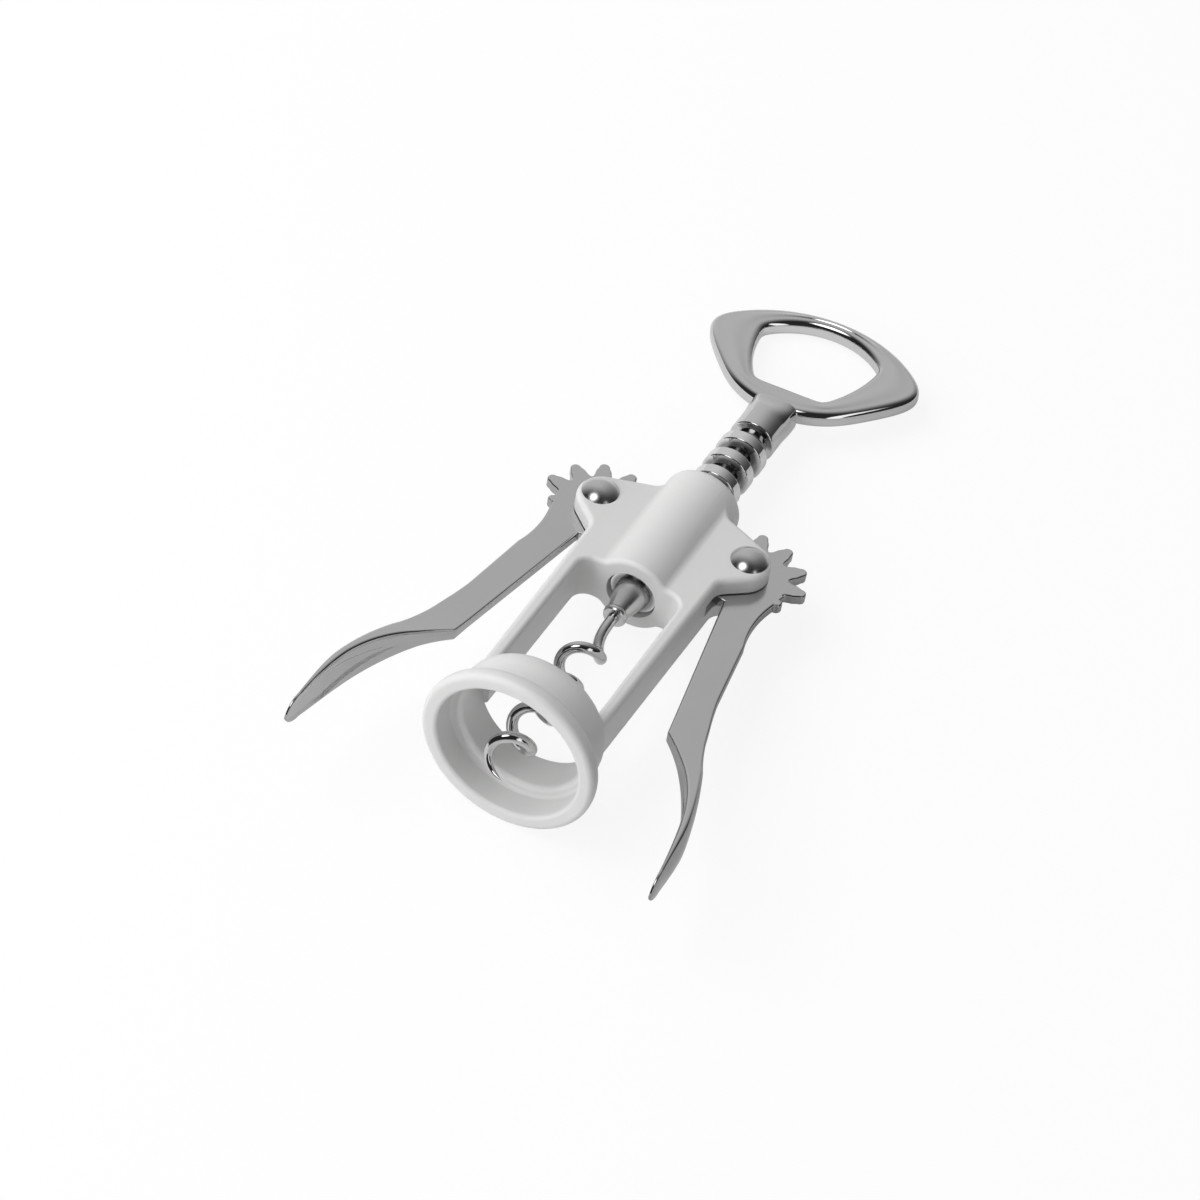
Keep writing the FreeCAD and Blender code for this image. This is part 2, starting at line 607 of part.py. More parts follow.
def make_opener():
    """Crown-cap opener with the collar and the spindle below it, in one piece."""
    body = new_body("opener_handle")
    flank = "head_bottom + head_lower_radius - sqrt(head_lower_radius ^ 2 - head_flank_across ^ 2)"
    plate_outline = [
        ("head_flank_across", flank),
        ("head_width", "head_tip_along", arc_over("head_width", "head_top - head_tip_along")),
        ("-head_width", "head_tip_along"),
        ("-head_flank_across", flank, "head_lower_radius"),
    ]
    pad(body, "head", plate_outline, "2 * head_half")
    opening_arc = arc_over("opening_half_top", "opening_top - opening_shoulder")
    opening_outline = [
        ("opening_half_bottom", "opening_bottom"),
        ("opening_half_top", "opening_shoulder", opening_arc),
        ("-opening_half_top", "opening_shoulder"),
        ("-opening_half_bottom", "opening_bottom"),
    ]
    pad(body, "opening", opening_outline, "4 * head_half", "Pocket")

    def is_on_face(edge):
        return all(near(abs(corner.Z), size("head_half")) for corner in edge.Vertexes) and not is_upright(edge)

    def is_in_opening(edge):
        low, high = size("opening_bottom") - 0.01, size("opening_top")
        narrow = all(abs(corner.X) < size("opening_half_top") for corner in edge.Vertexes)
        return narrow and all(low < corner.Y < high for corner in edge.Vertexes)

    def is_opening_edge(edge):
        return is_on_face(edge) and is_in_opening(edge)

    def is_rim_edge(edge):
        return is_on_face(edge) and not is_in_opening(edge)

    round_edges(body, "head_tips", "head_tip_round", corner_at("head_width", "head_tip_along"))
    round_edges(body, "opening_shoulders", "opening_round", corner_at("opening_half_top", "opening_shoulder"))
    round_edges(body, "opening_corners", "opening_corner", corner_at("opening_half_bottom", "opening_bottom"))
    round_edges(body, "opening_edges", "opening_edge_round", is_opening_edge)
    round_edges(body, "head_edges", "head_edge_round", is_rim_edge)

    hole = "wire_radius + press_clearance"
    hole_top = SHANK_TOP + " + end_clearance"
    spindle_outline = [
        (hole, SPINDLE_BOTTOM),
        ("spindle_radius", SPINDLE_BOTTOM),
        ("spindle_radius", "collar_bottom"),
        ("collar_radius - collar_round", "collar_bottom", "collar_round"),
        ("collar_radius", "collar_bottom + collar_round"),
        ("collar_radius", "collar_top - collar_round", "collar_round"),
        ("collar_radius - collar_round", "collar_top"),
        ("0", "collar_top"),
        ("0", hole_top),
        (hole, hole_top),
    ]
    turn(body, "spindle", spindle_outline)
    body.Placement.Rotation = Rotation(Vector(0, -1, 0), size("head_turn"))
    bind(body, "Placement.Rotation.Angle", "head_turn")
    return body


def make_ferrule():
    """Cone that holds the worm under the rack."""
    body = new_body("worm_ferrule")
    hole = "wire_radius + press_clearance"
    bulge = "ferrule_bead_radius - ferrule_end_radius"
    outline = [
        (hole, "ferrule_bottom"),
        ("ferrule_end_radius", "ferrule_bottom", arc_over("bead_height / 2", bulge)),
        ("ferrule_end_radius", "ferrule_bottom + bead_height"),
        ("ferrule_top_radius", SPINDLE_BOTTOM + " - ferrule_band"),
        ("ferrule_top_radius", SPINDLE_BOTTOM),
        (hole, SPINDLE_BOTTOM),
    ]
    turn(body, "cone", outline)
    return body


WORM_STEPS = 20
WORM_SIDES = 8


def spline_growth(count):
    """How much further out the poles of a cubic spline lie than the circle it follows, for this many
    poles in a full turn."""
    return 3 / (2 + math.cos(2 * math.pi / count))


def worm_middle(turns):
    """The middle of the wire. From no turns on it is a right-handed helix. Before that it opens from the
    axis, smoothly and more steeply, and above the ferrule's narrow end it is straight."""
    opening_turns = size("spread_turns")
    share = max(min(1 + turns / opening_turns, 1), 0)
    radius = size("coil_radius") * share ** 2 * (3 - 2 * share)
    angle = math.radians(size("coil_start_angle") - 360 * max(turns, -opening_turns))
    steepness = size("spread_height / spread_turns")
    extra = steepness - size("coil_pitch")
    if turns > 0:
        below = size("coil_pitch") * turns
    elif turns > -opening_turns:
        below = size("coil_pitch") * turns - extra * turns ** 2 / opening_turns
    else:
        below = (size("coil_pitch") + 2 * extra) * (turns + opening_turns) - size("spread_height")
    outward = Vector(math.sin(angle), 0, math.cos(angle))
    along = size("ferrule_bottom - spread_height") - below
    return outward * radius * spline_growth(WORM_STEPS) + Vector(0, along, 0), outward


def worm_ring(turns):
    """Poles of a round cut through the wire there, thinner near the point."""
    middle, outward = worm_middle(turns)
    step = 0.01
    tangent = (worm_middle(turns + step)[0] - worm_middle(turns - step)[0]).normalize()
    first = (outward - tangent * outward.dot(tangent)).normalize()
    second = tangent.cross(first)
    from_tip = min((size("coil_turns") - turns) / size("tip_turns"), 1)
    radius = size("tip_radius") + (size("wire_radius") - size("tip_radius")) * math.sqrt(from_tip)
    radius = radius * spline_growth(WORM_SIDES)
    angles = [2 * math.pi * side / WORM_SIDES for side in range(WORM_SIDES)]
    return [middle + first * radius * math.cos(angle) + second * radius * math.sin(angle) for angle in angles]


def make_worm():
    """Wire worm: a straight shank in the spindle, a coil that opens below the ferrule, and a point."""
    top = -size("spread_turns + shank_depth / (2 * spread_height / spread_turns - coil_pitch)")
    bottom = size("coil_turns")
    count = round((bottom - top) * WORM_STEPS)
    poles = [worm_ring(top + (bottom - top) * step / count) for step in range(count + 1)]
    skin = Part.BSplineSurface()
    skin.buildFromPolesMultsKnots(
        poles,
        [4] + [1] * (count - 3) + [4],
        [1] * (WORM_SIDES + 1),
        list(range(count - 1)),
        list(range(WORM_SIDES + 1)),
        False,
        True,
        3,
        3,
    )
    side = skin.toShape()
    first, last = skin.bounds()[:2]
    ends = [Part.Face(Part.Wire(skin.uIso(place).toShape())) for place in (first, last)]
    shell = Part.makeShell([side] + ends)
    shell.sewShape()
    worm = document.addObject("Part::Feature", "worm_wire")
    worm.Label = "worm"
    worm.Shape = Part.makeSolid(shell)
    if worm.Shape.Volume < 0:
        worm.Shape = worm.Shape.reversed()
    return worm


frame = make_frame()
lever_right = make_lever()
pieces = [
    frame,
    lever_right,
    make_left_lever(lever_right),
    make_rivet("rivet_right", 1),
    make_rivet("rivet_left", -1),
    make_cap("rear_cap_right", 1),
    make_cap("rear_cap_left", -1),
    make_rack(),
    make_opener(),
    make_ferrule(),
    make_worm(),
]
document.recompute()

for item in document.Objects:
    if "Invalid" in item.State or "Error" in item.State:
        raise RuntimeError(f"{item.Label} did not recompute: {item.State}")
for piece in pieces:
    if piece.Shape.isNull() or not piece.Shape.isValid() or len(piece.Shape.Solids) != 1:
        raise RuntimeError(f"{piece.Label} has no valid single solid")

os.makedirs("parts", exist_ok=True)
for piece in pieces:
    piece.Shape.exportStep(f"parts/{piece.Label}.step")
    box = piece.Shape.BoundBox
    print(f"{piece.Label}: {piece.Shape.Volume:.0f} mm3, x {box.XMin:.2f} to {box.XMax:.2f}, "
          f"y {box.YMin:.2f} to {box.YMax:.2f}, z {box.ZMin:.2f} to {box.ZMax:.2f}")
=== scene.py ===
import math

import bmesh
import bpy
import numpy as np
from mathutils import Matrix, Vector


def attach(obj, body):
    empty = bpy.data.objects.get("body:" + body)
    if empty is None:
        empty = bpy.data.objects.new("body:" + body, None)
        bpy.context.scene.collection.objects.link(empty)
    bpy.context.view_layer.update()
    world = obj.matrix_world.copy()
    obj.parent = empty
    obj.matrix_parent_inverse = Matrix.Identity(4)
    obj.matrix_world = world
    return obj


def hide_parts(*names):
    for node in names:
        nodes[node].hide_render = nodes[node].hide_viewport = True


# A wing corkscrew on its back. The levers and the opener are new meshes, worked out in mm; the other pieces
# keep their CAD shape. x runs to the right lever, y from the bell to the opener, and z to the front.

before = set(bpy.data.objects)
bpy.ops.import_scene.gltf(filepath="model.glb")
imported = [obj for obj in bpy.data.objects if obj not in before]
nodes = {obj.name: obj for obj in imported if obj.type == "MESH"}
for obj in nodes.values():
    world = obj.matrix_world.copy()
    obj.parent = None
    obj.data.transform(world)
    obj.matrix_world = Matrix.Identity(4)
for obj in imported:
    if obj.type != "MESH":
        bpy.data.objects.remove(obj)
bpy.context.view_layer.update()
print("frame loaded")

mm = 0.001


class Wire:
    # a socket that takes part in sums with numbers and other wires
    def __init__(self, tree, socket):
        self.tree, self.socket = tree, socket

    def maths(self, operation, *others):
        inputs = dict(enumerate((self,) + others))
        return self.tree.node("ShaderNodeMath", {"operation": operation}, inputs)

    def __add__(self, other):
        return self.maths("ADD", other)

    def __sub__(self, other):
        return self.maths("SUBTRACT", other)

    def __rsub__(self, other):
        return self * -1 + other

    def __mul__(self, other):
        return self.maths("MULTIPLY", other)

    def __abs__(self):
        return self.maths("ABSOLUTE")

    __radd__, __rmul__ = __add__, __mul__

    def between(self, low, high):
        # 0 below low, 1 above high, and a smooth step in between
        inputs = {"Value": self, "From Min": low, "From Max": high}
        return self.tree.node("ShaderNodeMapRange", {"interpolation_type": "SMOOTHSTEP"}, inputs)


class Tree:
    # the nodes of one material or world
    def __init__(self, owner):
        owner.use_nodes = True
        self.owner, self.nodes, self.links = owner, owner.node_tree.nodes, owner.node_tree.links
        self.nodes.clear()

    def node(self, kind, settings=None, inputs=None, output=0):
        # a new node, its settings first, as a wire from the output of this name or number
        made = self.nodes.new(kind)
        for name, value in (settings or {}).items():
            setattr(made, name, value)
        for name, value in (inputs or {}).items():
            self.feed(made.inputs[name], value)
        return Wire(self, made.outputs[output]) if made.outputs else None

    def feed(self, socket, value):
        if isinstance(value, Wire):
            self.links.new(value.socket, socket)
        else:
            socket.default_value = value

    def axes(self, wire):
        split = self.node("ShaderNodeSeparateXYZ", None, {0: wire}).socket.node
        return [Wire(self, socket) for socket in split.outputs]

    def mixed(self, share, first, second):
        # first * (1 - share) + second * share; sockets 6 and 7 are the node's two colours
        return self.node("ShaderNodeMix", {"data_type": "RGBA"}, {0: share, 6: first, 7: second}, 2)

    def rays(self, *kinds):
        # 1 for a ray of the kind, or else 0
        lightPath = self.node("ShaderNodeLightPath").socket.node
        return [Wire(self, lightPath.outputs[f"Is {kind} Ray"]) for kind in kinds]


class Finish(Tree):
    # a material with one Principled shader
    def __init__(self, name):
        super().__init__(bpy.data.materials.new(name))
        surface = self.node("ShaderNodeBsdfPrincipled")
        self.node("ShaderNodeOutputMaterial", None, {"Surface": surface})
        self.shader = surface.socket.node
        self.place = self.node("ShaderNodeTexCoord", output="Object")

    def noise(self, scale, detail=3.0, stretch=None):
        place = self.place
        if stretch:
            place = self.node("ShaderNodeMapping", None, {"Vector": place, "Scale": stretch})
        return self.node("ShaderNodeTexNoise", None, {"Vector": place, "Scale": scale, "Detail": detail})

    def bump(self, height, distance):
        return self.node("ShaderNodeBump", None, {"Height": height, "Distance": distance})

    def set(self, **sockets):
        for name, value in sockets.items():
            self.feed(self.shader.inputs[name.replace("_", " ")], value)
        return self.owner


def grey(level, warmth=0.0):
    return (level * (1 + warmth), level, level * (1 - warmth), 1.0)


plasticLook = {
    "colour": 0.69, "warmth": 0.004, "cloud": 0.03, "cloudScale": 60.0,
    "grainScale": 2600.0, "grainDetail": 2.0, "grainDepth": 0.000012,
    "roughness": 0.42, "grainRoughness": 0.12, "specular": 0.45, "coat": 0.12, "coatRoughness": 0.25,
}


def satinPlastic(name):
    # a noise takes the colour from colour * (1 - cloud) to colour * (1 + cloud), and a fine grain changes the
    # height, and the roughness by (grain - 0.5) * grainRoughness
    look = plasticLook
    finish = Finish(name)
    cloud = finish.noise(look["cloudScale"])
    grain = finish.noise(look["grainScale"], look["grainDetail"])
    dark = grey(look["colour"] * (1 - look["cloud"]), look["warmth"])
    light = grey(look["colour"] * (1 + look["cloud"]), look["warmth"])
    return finish.set(
        Base_Color=finish.mixed(cloud, dark, light),
        Roughness=look["roughness"] + (grain - 0.5) * look["grainRoughness"],
        Specular_IOR_Level=look["specular"],
        Coat_Weight=look["coat"],
        Coat_Roughness=look["coatRoughness"],
        Normal=finish.bump(grain, look["grainDepth"]),
    )


# polish and satin are roughnesses. Where a face looks to the front or back, satin and colour come in between
# faceLimits of its normal's z, and polish and the painted edge reflection are left elsewhere: a colour
# painted on the rounded edges for their reflections, darker on the levers and lighter on the opener. brushed
# is the scratches' scale along x, y and z. grooves are two distances from the axis in metres, between which
# the painted groove shade, a darker colour standing for shade in the grooves, gives way
metalLooks = {
    "leverSteel": {
        "colour": 0.61, "polish": 0.06, "satin": 0.19, "brushed": (1.0, 0.06, 1.0),
        "faceLimits": (0.74, 0.94), "paintedEdgeReflection": 0.42,
    },
    "rivetChrome": {"colour": 0.62, "polish": 0.22},
    "rackChrome": {
        "colour": 0.80, "polish": 0.06,
        "grooves": (0.0042, 0.0053), "paintedGrooveShade": 0.30, "grooveRoughness": 0.06,
    },
    "openerSteel": {
        "colour": 0.64, "polish": 0.06, "satin": 0.22, "brushed": (1.0, 0.2, 1.0),
        "faceLimits": (0.86, 0.97), "paintedEdgeReflection": 0.68,
    },
    "wormChrome": {"colour": 0.62, "polish": 0.05},
    "ferruleNickel": {"colour": 0.66, "polish": 0.27},
}
metalGrain = {
    "cloudScale": 90.0, "cloudRoughness": 0.04, "dark": 0.96, "darkWarmth": 0.006, "light": 1.03,
    "lightWarmth": 0.002, "scratchScale": 1500.0, "scratchRoughness": 0.06, "scratchDepth": 0.000004,
}


def platedMetal(name):
    # the tint goes from dark to light by a cloud. The roughness is polish + flat * (satin - polish) and a
    # share of the scratch, or polish and a share of the cloud, both around the noise's mean of 0.5
    look, grain = metalLooks[name], metalGrain
    finish = Finish(name)
    cloud = finish.noise(grain["cloudScale"])
    scratch = finish.noise(grain["scratchScale"], stretch=look.get("brushed"))
    dark = grey(look["colour"] * grain["dark"], grain["darkWarmth"])
    light = grey(look["colour"] * grain["light"], grain["lightWarmth"])
    tint = finish.mixed(cloud, dark, light)
    if "satin" in look:
        facing = finish.axes(finish.node("ShaderNodeTexCoord", output="Normal"))
        flat = abs(facing[2]).between(*look["faceLimits"])
        # painted reflection: the rounded edges take a colour of their own, darker on the levers and lighter
        # on the opener
        tint = finish.mixed(flat, grey(look["paintedEdgeReflection"]), tint)
        roughness = look["polish"] + flat * (look["satin"] - look["polish"])
        roughness = roughness + (scratch - 0.5) * grain["scratchRoughness"]
    else:
        roughness = look["polish"] + (cloud - 0.5) * grain["cloudRoughness"]
    if "grooves" in look:
        x, _, z = finish.axes(finish.place)
        ridge = (x * x + z * z).maths("SQRT").between(*look["grooves"])
        # painted shade: the grooves between the rack's rings are darkened, nearer the axis
        tint = finish.mixed(ridge, grey(look["paintedGrooveShade"]), tint)
        roughness = roughness + (1 - ridge) * look["grooveRoughness"]
    normal = finish.bump(scratch, grain["scratchDepth"])
    return finish.set(Base_Color=tint, Metallic=1.0, Roughness=roughness, Normal=normal)


finishes = {"frameSatin": satinPlastic("frameSatin")}
finishes.update({name: platedMetal(name) for name in metalLooks})
wears = {
    "frame": "frameSatin", "lever_left": "leverSteel", "lever_right": "leverSteel",
    "rivet_left": "rivetChrome", "rivet_right": "rivetChrome",
    "rear_cap_left": "rivetChrome", "rear_cap_right": "rivetChrome",
    "rack_sleeve": "rackChrome", "opener_handle": "openerSteel",
    "worm_ferrule": "ferruleNickel", "worm": "wormChrome",
}
for name, item in nodes.items():
    item.data.materials.clear()
    item.data.materials.append(finishes[wears[name]])
print("finishes made")


def smooth(share):
    # 0 below 0, 1 above 1, and t * t * (3 - 2 * t) in between
    share = np.clip(share, 0, 1)
    return share * share * (3 - 2 * share)


def polar(radius, across, degrees):
    # radius * (cos a, sin a) + across * (-sin a, cos a)
    turned = math.radians(degrees)
    along = np.array((math.cos(turned), math.sin(turned)))
    return along * radius + np.array((-along[1], along[0])) * across


pathStep = 0.35                                           # mm between the points of a path


def path(*stations):
    # points along lines and arcs. A station is (x, y), or (x, y, radius) where an arc leads on from it, with
    # a negative radius for a clockwise one. Its centre is sqrt(radius^2 - (chord / 2)^2) beside the chord
    points = []
    for station, following in zip(stations, stations[1:]):
        start, stop = np.array(station[:2]), np.array(following[:2])
        chord = stop - start
        length = np.hypot(*chord)
        share = np.linspace(0, 1, max(2, int(length / pathStep)), endpoint=False)[:, None]
        if len(station) == 2:
            points.append(start + chord * share)
            continue
        radius = station[2]
        side = np.array((-chord[1], chord[0])) / length
        beside = math.copysign(math.sqrt(radius ** 2 - length ** 2 / 4), radius)
        centre = (start + stop) / 2 + side * beside
        sweep = 2 * math.asin(length / 2 / abs(radius)) * math.copysign(1, radius)
        angle = math.atan2(*(start - centre)[::-1]) + sweep * share
        points.append(centre + abs(radius) * np.hstack((np.cos(angle), np.sin(angle))))
    return np.vstack(points + [np.array(stations[-1][:2])[None]])


def outwardOf(loop):
    # for a closed, counter-clockwise loop: at each point, the step from the point before to the one after,
    # turned to the right and brought to length 1
    along = np.roll(loop, -1, 0) - np.roll(loop, 1, 0)
    return np.stack([along[:, 1], -along[:, 0]], 1) / np.hypot(*along.T)[:, None]


def atHeight(loop, height):
    # (x, y) becomes (x, y, height)
    return np.column_stack([loop, np.full(len(loop), height)])


def quarterRound(radius, count):
    # round an edge: inwards by radius * (1 - cos a), and below the face by radius * (1 - sin a)
    angle = np.linspace(0, math.pi / 2, count)
    return radius * (1 - np.column_stack([np.cos(angle), np.sin(angle)]))


def closedGrid(points, capped):
    # the points and faces of a grid: a face's corners are a row and column and the next of each. Each row
    # closes on itself; the last row leads back to the first one, or both get a cap
    rows, columns = points.shape[:2]
    row = np.arange(rows if not capped else rows - 1)[:, None]
    column = np.arange(columns)[None]
    after, beside = (row + 1) % rows, (column + 1) % columns
    corners = (
        row * columns + column, row * columns + beside, after * columns + beside, after * columns + column,
    )
    faces = [tuple(quad) for quad in np.stack(corners, -1).reshape(-1, 4).tolist()]
    if capped:
        faces.append(tuple(range(columns))[::-1])
        faces.append(tuple(range((rows - 1) * columns, rows * columns)))
    return points.reshape(-1, 3), faces


def makePiece(name, shells, body, node):
    # one mesh of closed shells, each of them points in mm and faces
    points, faces, before = [], [], 0
    for shellPoints, shellFaces in shells:
        faces += [tuple(corner + before for corner in face) for face in shellFaces]
        points.append(shellPoints)
        before += len(shellPoints)
    mesh = bpy.data.meshes.new(name)
    mesh.from_pydata((np.vstack(points) * mm).tolist(), [], faces)
    shaped = bmesh.new()
    shaped.from_mesh(mesh)
    bmesh.ops.recalc_face_normals(shaped, faces=shaped.faces)
    shaped.to_mesh(mesh)
    shaped.free()
    mesh.shade_smooth()
    mesh.materials.append(finishes[wears[node]])
    piece = bpy.data.objects.new(name, mesh)
    bpy.context.scene.collection.objects.link(piece)
    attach(piece, body)
    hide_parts(node)


# mm and degrees, for the right lever, from its pivot. innerEdge, outerEdge and halves are stations of a path
# from the knee, at the end of the straight arm: x and the way down for the edges, and the way down and half
# the thickness for halves
leverSizes = {
    "pivotAcross": 17.1711, "pivotAlong": 70.03, "thickness": 2.4, "edge": 0.48,
    "teeth": 7, "teethInTurn": 12, "firstTooth": 9.1, "tipRadius": 12.8011, "rootRadius": 9.2011,
    "tipHalf": 1.15, "footHalf": 1.75, "flankFoot": 0.94, "cornerFoot": 1.04,
    "gapDepth": 0.35, "gapRound": 1.5, "backFrom": 2.0, "backTo": 1.0, "backStep": 2.5,
    "gearEdge": 0.34, "gearFlat": 1.15, "gearSunk": 0.01, "hole": 2.06, "holeEdge": 0.05, "holeFlat": 0.2,
    "splay": 10.3, "inset": 2.1, "armLength": 47.9, "armTop": -2.45, "seam": 0.015, "levelGap": 0.02,
    "neckAcross": 8.87, "neckCurve": 24.0, "waistWidth": 7.5, "waistAlong": 18.2,
    "stubRadius": 9.5, "stubHalf": 0.9, "stubAngle": -20.5,
    "innerEdge": ((-0.05, -0.3), (0.12, 0.4, -40.0), (13.2, 20.5, -96.0), (15.9, 38.595)),
    "outerEdge": ((5.2, -8.6, 51.0), (10.2, 6.5, -78.0), (16.4, 38.595)),
    "halves": (
        (-60.0, 1.2), (-5.0, 1.2, 50.0), (5.5, 2.3, -60.0),
        (20.5, 4.75, -60.0), (34.0, 3.3, -4.6), (38.6, 0.45),
    ),
    "widened": 0.75, "widenedFrom": -14.0, "widenedTo": 33.5, "widenedEase": (10.0, 12.0),
    "paddleEdge": 0.85, "paddleEdgeEase": 10.0, "edgeOfWidth": 0.42, "edgeOfHalf": 0.9,
    "dishDepth": 0.46, "dishStart": 8.5, "dishFull": 25.0, "dishHalf": 3.6, "dishRim": 0.5, "dishEase": 7.0,
    "dishLeast": 0.05, "dishOfWidth": 0.28, "dishFlank": 2.6,
    "outerCrown": 0.3, "crownEase": 16.0, "crownFull": 1.7,
}


def gearOutline():
    # fingers with a half-round tip. From the middle of a gap, away, a curve leads to the finger's flank past
    # the corner: (1 - t)^2 * away + 2 * t * (1 - t) * corner + t^2 * flank. An arc closes the back
    look = leverSizes
    step = 360 / look["teethInTurn"]
    root, tipHalf = look["rootRadius"], look["tipHalf"]
    finger = look["tipRadius"] - tipHalf
    foot = math.sqrt(root ** 2 - look["footHalf"] ** 2)
    share = np.linspace(0, 1, 9)[:, None]
    outline = []
    for number in range(look["teeth"]):
        centre = look["firstTooth"] + step * number
        tip = [polar(finger + tipHalf * math.sin(a), -tipHalf * math.cos(a), centre)
               for a in np.linspace(0, math.pi, 13)]
        for side in (-1, 1):
            flank = polar(foot + look["gapRound"], side * look["footHalf"] * look["flankFoot"], centre)
            corner = polar(foot - look["gapDepth"], side * look["footHalf"] * look["cornerFoot"], centre)
            away = polar(root - look["gapDepth"], 0, centre + side * step / 2)
            bend = away * (1 - share) ** 2 + corner * 2 * share * (1 - share) + flank * share ** 2
            outline += list(bend) + tip if side < 0 else list(bend[-1:0:-1])
    start = math.degrees(math.atan2(*outline[-1][::-1])) % 360 + look["backFrom"]
    stop = math.degrees(math.atan2(*outline[0][::-1])) + 360 - look["backTo"]
    back = [polar(root, 0, degrees) for degrees in np.arange(start, stop, look["backStep"])]
    return np.array(outline + back)


def gearShell():
    # the outline moves inwards by a quarter round to the face, which ends in rings of radius * direction
    # round the hole; the back is the front's mirror image
    look = leverSizes
    outline = gearOutline()
    outward = outwardOf(outline)
    radial = outline / np.hypot(*outline.T)[:, None]
    top, edge = look["thickness"] / 2 - look["gearSunk"], look["gearEdge"]
    hole, holeEdge = look["hole"], look["holeEdge"]
    rounds = [*quarterRound(edge, 6), (edge * look["gearFlat"], 0)]
    rows = [atHeight(outline - outward * inset, top - drop) for inset, drop in rounds]
    rings = ((hole + look["holeFlat"], top), (hole + holeEdge, top), (hole, top - holeEdge))
    rows += [atHeight(radial * radius, height) for radius, height in rings]
    lower = [row * (1, 1, -1) for row in rows[::-1]]
    return closedGrid(np.array(lower + rows), False)


def armCuts():
    # heights down the arm and the paddle, each with its cut's inner and outer end, half its thickness, and
    # the way past the knee. The outer edge is widened by a step that rises times one that falls
    look = leverSizes
    slope = math.radians(look["splay"])
    kneeX = look["armLength"] * math.sin(slope) - look["inset"] * math.cos(slope)
    kneeY = -look["armLength"] * math.cos(slope) - look["inset"] * math.sin(slope)
    top, stubHalf = look["armTop"], look["stubHalf"]
    inner, outer = (
        [(kneeX + across, kneeY - along, *curve) for across, along, *curve in look[name]]
        for name in ("innerEdge", "outerEdge")
    )
    stub = [
        (*polar(look["stubRadius"] + out * stubHalf, side * stubHalf, look["stubAngle"]), curve)
        for out, side, curve in ((0, 1, -stubHalf), (1, 0, -stubHalf), (0, -1, look["neckCurve"]))
    ]
    waist = (look["waistWidth"] - look["inset"] + look["waistAlong"] * math.tan(slope), -look["waistAlong"])
    inner = path((kneeX - (top - kneeY) * math.tan(slope), top), *inner)
    outer = path((look["neckAcross"], top), *stub, waist, *outer)
    past = kneeY - outer[:, 1]
    easeIn, easeOut = look["widenedEase"]
    wider = smooth((past - look["widenedFrom"]) / easeIn) * smooth((look["widenedTo"] - past) / easeOut)
    outer[:, 0] += look["widened"] * wider

    level = np.unique(np.round(np.concatenate([inner[:, 1], outer[:, 1]]), 3))[::-1]
    level = level[np.insert(np.diff(level) < -look["levelGap"], 0, True)]
    level = np.insert(level, 1, top - look["seam"])
    left = np.interp(-level, -inner[:, 1], inner[:, 0])
    right = np.interp(-level, -outer[:, 1], outer[:, 0])
    halves = path(*look["halves"])
    along = kneeY - level
    return level, left, right, np.interp(along, halves[:, 0], halves[:, 1]), along


def roundedBox():
    # once round a box with rounded edges, from its right front edge. A point is a corner, in shares of the
    # half width and half thickness, plus a quarter turn's cosine and sine. The last row is 1 on the inner
    # face and 0 elsewhere
    sideShare = np.array((0.01, 0.03, 0.1, 0.25, 0.4, 0.5, 0.6, 0.75, 0.9, 0.97, 0.99))
    faceShare = np.concatenate([(0.01, 0.03), np.linspace(0.06, 0.94, 29), (0.97, 0.99)])
    corners = np.array(((1, 1), (-1, 1), (-1, -1), (1, -1)))
    columns = []
    for quarter, corner in enumerate(corners):
        share = (faceShare if quarter % 2 else sideShare)[:, None]
        angle = np.linspace(0, math.pi / 2, 8) + quarter * math.pi / 2
        turn = np.column_stack([np.cos(angle), np.sin(angle)])
        towards = corner + (corners[(quarter + 1) % 4] - corner) * share
        flat = np.tile(turn[-1], (len(share), 1))
        columns.append(np.column_stack([np.tile(corner, (len(turn), 1)), turn, np.zeros(len(turn))]))
        columns.append(np.column_stack([towards, flat, np.full(len(share), quarter == 1)]))
    return np.vstack(columns).T


def armShell():
    # cuts of constant height: rounded boxes whose outer face is crowned by crown * (z / half)^2. Their inner
    # face has a dish that opens in a V: depth * the smooth step of dishFlank * (1 - |z| / opening)
    look = leverSizes
    level, left, right, half, along = armCuts()
    boxX, boxZ, turnX, turnZ, inFace = roundedBox()
    width = right - left
    edge = look["edge"] + (look["paddleEdge"] - look["edge"]) * smooth(along / look["paddleEdgeEase"])
    thin = np.minimum(width * look["edgeOfWidth"], half * look["edgeOfHalf"])
    edge = np.minimum(edge, thin)[:, None]
    x = (left + right)[:, None] / 2 + boxX * (width[:, None] / 2 - edge) + turnX * edge
    z = boxZ * (half[:, None] - edge) + turnZ * edge

    crown = look["outerCrown"] * smooth(along / look["crownEase"]) * np.clip(width / look["crownFull"], 0, 1)
    across = np.clip((x - left[:, None]) / width[:, None], 0, 1)
    x = x - crown[:, None] * (z / half[:, None]) ** 2 * across

    past = along - look["dishStart"]
    opening = past / (look["dishFull"] - look["dishStart"]) * look["dishHalf"]
    opening = np.maximum(np.minimum(opening, half - look["dishRim"]), look["dishLeast"])[:, None]
    depth = look["dishDepth"] * smooth(past / look["dishEase"])
    depth = np.minimum(depth, width * look["dishOfWidth"])[:, None]
    x = x + inFace * depth * smooth((1 - np.abs(z) / opening) * look["dishFlank"])
    y = np.repeat(level[:, None], x.shape[1], 1)
    return closedGrid(np.stack([x, y, z], -1), True)


def leverShells(side):
    # side is 1 for the right lever and -1 for its mirror image
    pivot = (side * leverSizes["pivotAcross"], leverSizes["pivotAlong"], 0)
    return [(points * (side, 1, 1) + pivot, faces) for points, faces in (gearShell(), armShell())]


for node, side in (("lever_right", 1), ("lever_left", -1)):
    makePiece(node + "Steel", leverShells(side), node, node)
print("levers made")


